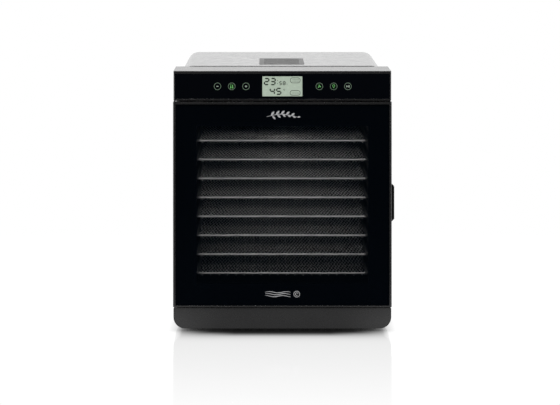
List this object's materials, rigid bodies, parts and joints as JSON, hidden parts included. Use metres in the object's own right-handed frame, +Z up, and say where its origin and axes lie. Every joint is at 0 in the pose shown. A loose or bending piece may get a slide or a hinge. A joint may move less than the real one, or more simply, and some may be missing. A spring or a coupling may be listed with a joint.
{
  "type": "cabinet food dryer",
  "caption": "Glass-fronted cabinet that dries food on a stack of sliding wire-mesh trays, with a rear fan and heater and a touch panel above the side-hinged door.",
  "frame": {"origin": "on the floor, under the middle of the cabinet's width and depth", "axes": "+X to the right seen from the front, +Y towards the back, +Z up; the door faces -Y"},
  "size_m": [0.349, 0.45, 0.4122],
  "materials": {
    "housing_paint": "satin black powder coat",
    "front_plastic": "fine satin texture",
    "gloss_black_panel": "polished black acrylic",
    "display": "reflective liquid-crystal cell",
    "circuit_board": "solder mask",
    "spring_rubber": "conductive silicone",
    "door_glass": "clear tempered glass",
    "glass_ink": "baked black ink",
    "seal_rubber": "soft silicone",
    "foot_rubber": "matte",
    "liner_steel": "dull dark steel",
    "tray_steel": "bright drawn wire",
    "zinc_steel": "zinc plated",
    "black_screw": "black oxide",
    "heater_sheath": "heat-tinted sheath",
    "fan_aluminium": "pressed sheet",
    "motor_iron": "lacquered laminations",
    "cord_rubber": "satin",
    "black_plastic": "satin",
    "lens_plastic": "frosted",
    "white_board": "solder mask",
    "bush_plastic": "acetal",
    "magnet_ferrite": "sintered"
  },
  "bodies": {
    "cabinet": {"outer_housing": "housing_paint", "top_vent": "black_plastic", "control_head": "front_plastic", "control_fascia": "gloss_black_panel", "lcd_module": "display", "control_board": "circuit_board", "touch_pads": "spring_rubber", "front_frame": "front_plastic", "base_fascia": "front_plastic", "bottom_panel": "housing_paint", "rubber_feet": "foot_rubber", "rear_panel": "housing_paint", "motor_cover": "black_plastic", "left_liner": "liner_steel", "right_liner": "liner_steel", "cavity_ceiling": "liner_steel", "cavity_floor": "liner_steel", "fan_grille": "liner_steel", "fan_shroud": "zinc_steel", "heating_element": "heater_sheath", "fan_motor": "motor_iron", "thermal_cutoff": "zinc_steel", "temp_probe": "zinc_steel", "lamp_lens": "lens_plastic", "lamp_board": "white_board", "power_board": "circuit_board", "wiring_harness": "cord_rubber", "power_cord": "cord_rubber", "cord_grommet": "cord_rubber", "mains_plug": "cord_rubber", "hinge_pins": "zinc_steel", "hinge_brackets": "zinc_steel", "catch_plates": "zinc_steel", "cabinet_screws": "black_screw", "rear_screws": "black_screw"},
    "door": {"door_frame": "front_plastic", "door_glass": "door_glass", "glass_border": "glass_ink", "door_seal": "seal_rubber", "door_handle": "black_plastic", "hinge_bushes": "bush_plastic", "door_magnets": "magnet_ferrite"},
    "rotor": {"fan_wheel": "fan_aluminium", "motor_shaft": "zinc_steel"},
    "tray_1": {"tray_frame_1": "tray_steel", "tray_mesh_1": "tray_steel"},
    "tray_2": {"tray_frame_2": "tray_steel", "tray_mesh_2": "tray_steel"},
    "tray_3": {"tray_frame_3": "tray_steel", "tray_mesh_3": "tray_steel"},
    "tray_4": {"tray_frame_4": "tray_steel", "tray_mesh_4": "tray_steel"},
    "tray_5": {"tray_frame_5": "tray_steel", "tray_mesh_5": "tray_steel"},
    "tray_6": {"tray_frame_6": "tray_steel", "tray_mesh_6": "tray_steel"},
    "tray_7": {"tray_frame_7": "tray_steel", "tray_mesh_7": "tray_steel"},
    "tray_8": {"tray_frame_8": "tray_steel", "tray_mesh_8": "tray_steel"}
  },
  "joints": [
    {"name": "door_hinge", "type": "hinge", "parent": "cabinet", "child": "door", "pos_m": [-0.166, -0.2145, 0.2], "axis": [0, 0, -1], "range_deg": [0, 120]},
    {"name": "fan_spin", "type": "hinge", "parent": "cabinet", "child": "rotor", "pos_m": [0, 0.148, 0.2], "axis": [0, -1, 0], "continuous": true},
    {"name": "tray_1_slide", "type": "slide", "parent": "cabinet", "child": "tray_1", "axis": [0, -1, 0], "range_m": [0, 0.29]},
    {"name": "tray_2_slide", "type": "slide", "parent": "cabinet", "child": "tray_2", "axis": [0, -1, 0], "range_m": [0, 0.29]},
    {"name": "tray_3_slide", "type": "slide", "parent": "cabinet", "child": "tray_3", "axis": [0, -1, 0], "range_m": [0, 0.29]},
    {"name": "tray_4_slide", "type": "slide", "parent": "cabinet", "child": "tray_4", "axis": [0, -1, 0], "range_m": [0, 0.29]},
    {"name": "tray_5_slide", "type": "slide", "parent": "cabinet", "child": "tray_5", "axis": [0, -1, 0], "range_m": [0, 0.29]},
    {"name": "tray_6_slide", "type": "slide", "parent": "cabinet", "child": "tray_6", "axis": [0, -1, 0], "range_m": [0, 0.29]},
    {"name": "tray_7_slide", "type": "slide", "parent": "cabinet", "child": "tray_7", "axis": [0, -1, 0], "range_m": [0, 0.29]},
    {"name": "tray_8_slide", "type": "slide", "parent": "cabinet", "child": "tray_8", "axis": [0, -1, 0], "range_m": [0, 0.29]}
  ],
  "couplings": [
    {"joint": "tray_1_slide", "follows": "door_hinge", "m_per_rad": 0.03},
    {"joint": "tray_2_slide", "follows": "door_hinge", "m_per_rad": 0.036},
    {"joint": "tray_3_slide", "follows": "door_hinge", "m_per_rad": 0.042},
    {"joint": "tray_4_slide", "follows": "door_hinge", "m_per_rad": 0.048},
    {"joint": "tray_5_slide", "follows": "door_hinge", "m_per_rad": 0.054},
    {"joint": "tray_6_slide", "follows": "door_hinge", "m_per_rad": 0.06},
    {"joint": "tray_7_slide", "follows": "door_hinge", "m_per_rad": 0.066},
    {"joint": "tray_8_slide", "follows": "door_hinge", "m_per_rad": 0.072}
  ]
}
